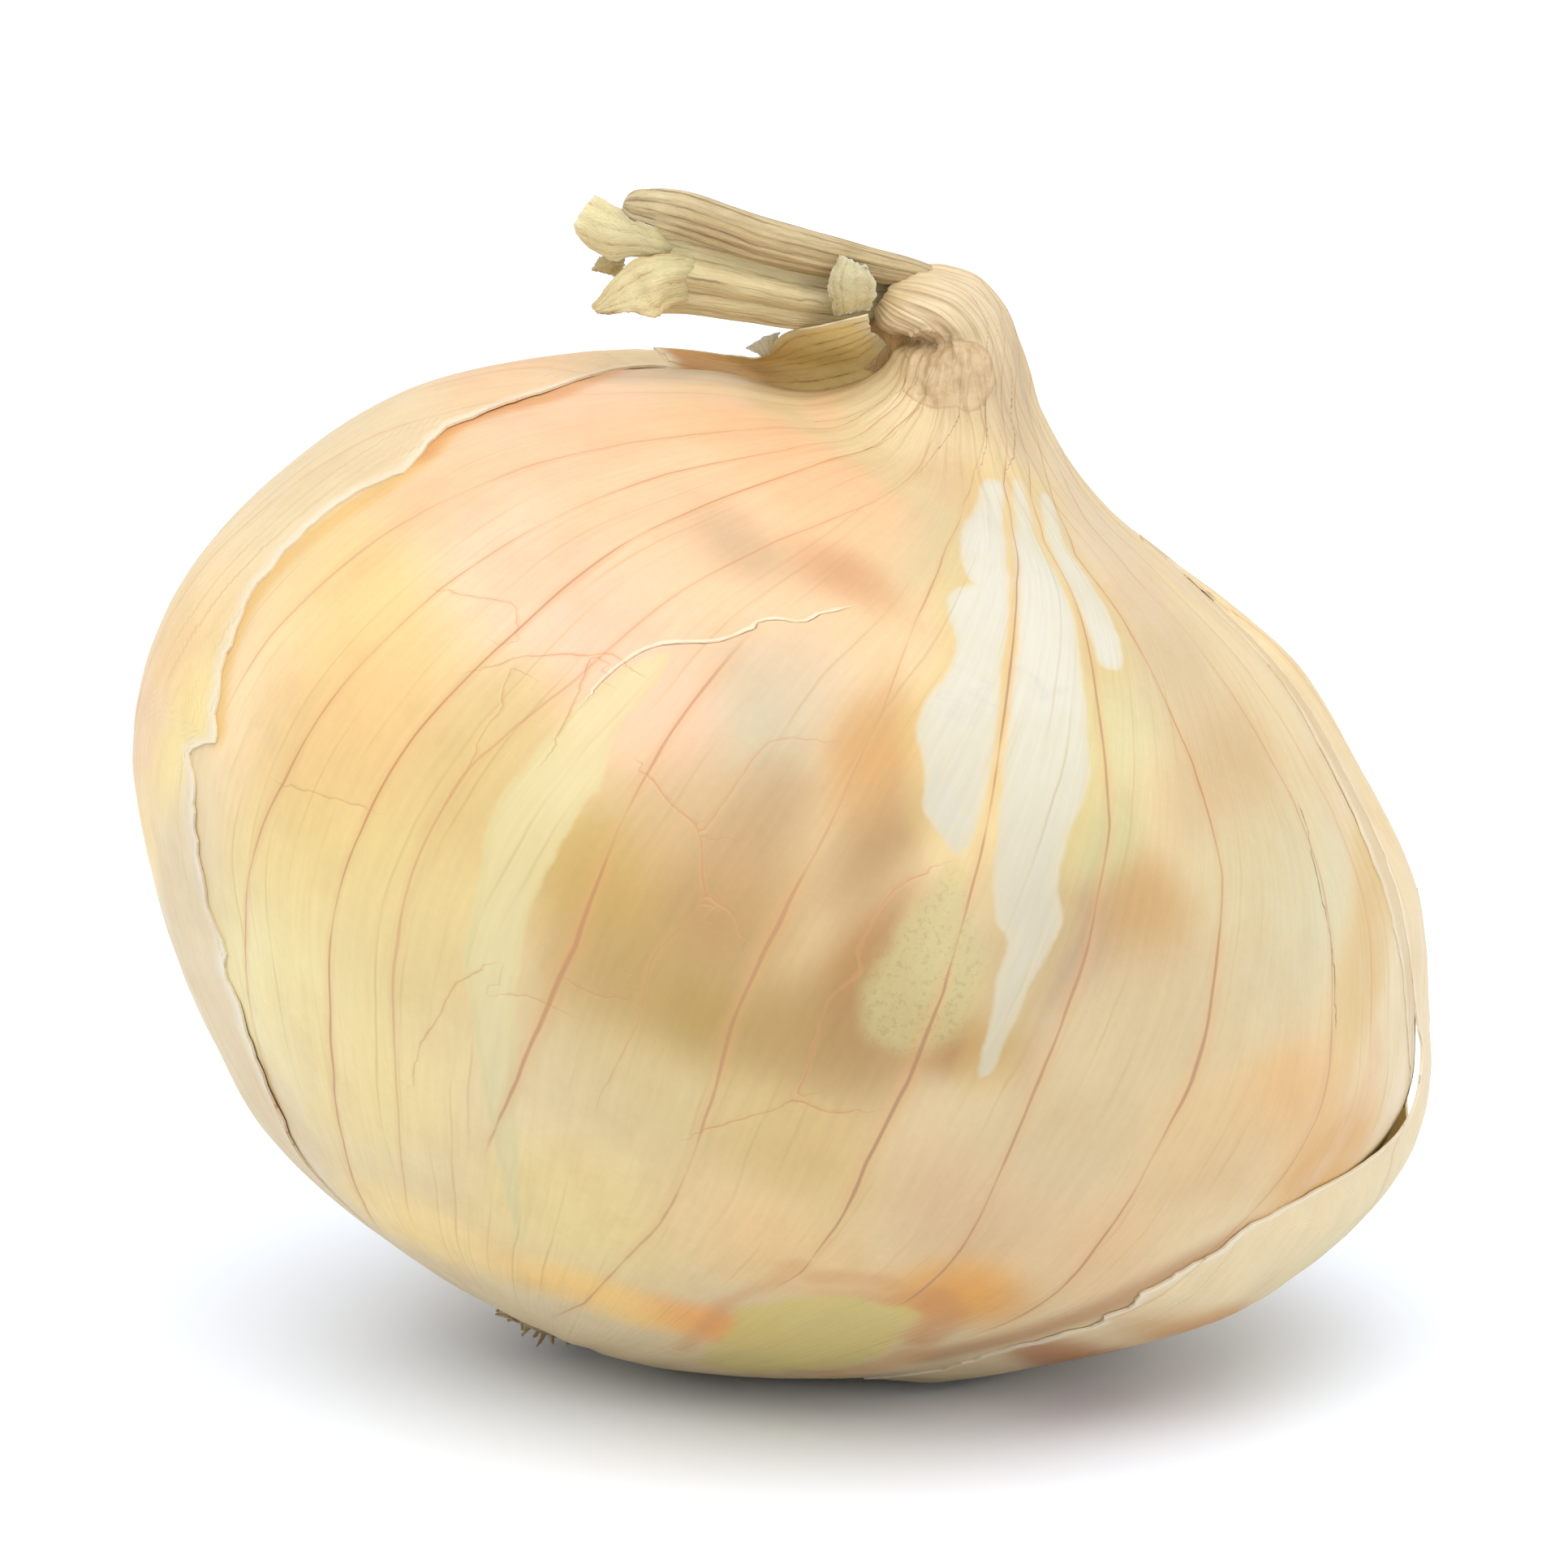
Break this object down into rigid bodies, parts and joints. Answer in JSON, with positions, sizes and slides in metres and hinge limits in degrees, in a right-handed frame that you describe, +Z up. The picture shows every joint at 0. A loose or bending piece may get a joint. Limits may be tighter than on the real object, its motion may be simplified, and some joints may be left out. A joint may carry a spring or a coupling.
{
  "type": "onion",
  "caption": "Whole yellow onion lying a little on its side, with papery golden skins, one torn outer skin, a drawn-in neck with a dried stalk, and a small tuft of dried roots.",
  "frame": {"origin": "Centre of the small flat spot that the bulb lies on, at the table's surface.", "axes": "+Z is up. The onion's own axis leans from upright towards +X by the lean angle, so the neck is high on the +X side and the root plate low on the -X side. -Y is the side that the picture looks at."},
  "size_m": [0.086, 0.0877, 0.0781],
  "materials": {
    "golden_skin": "Dry golden-yellow onion skin, tight and satin, with fine lengthwise veins and brown and pale patches.",
    "papery_skin": "Loose outer skin, thin and papery, yellow-tan with orange veins and torn pale edges.",
    "dry_straw": "Dried neck leaves, straw to grey-brown, matt, with lengthwise fibres and frayed ends.",
    "dry_root": "Dried rootlets, matt brown and brittle."
  },
  "bodies": {
    "root": {"bulb": "golden_skin", "outer_skin": "papery_skin", "stalk": "dry_straw", "neck_sheath": "dry_straw", "roots": "dry_root"}
  },
  "joints": []
}
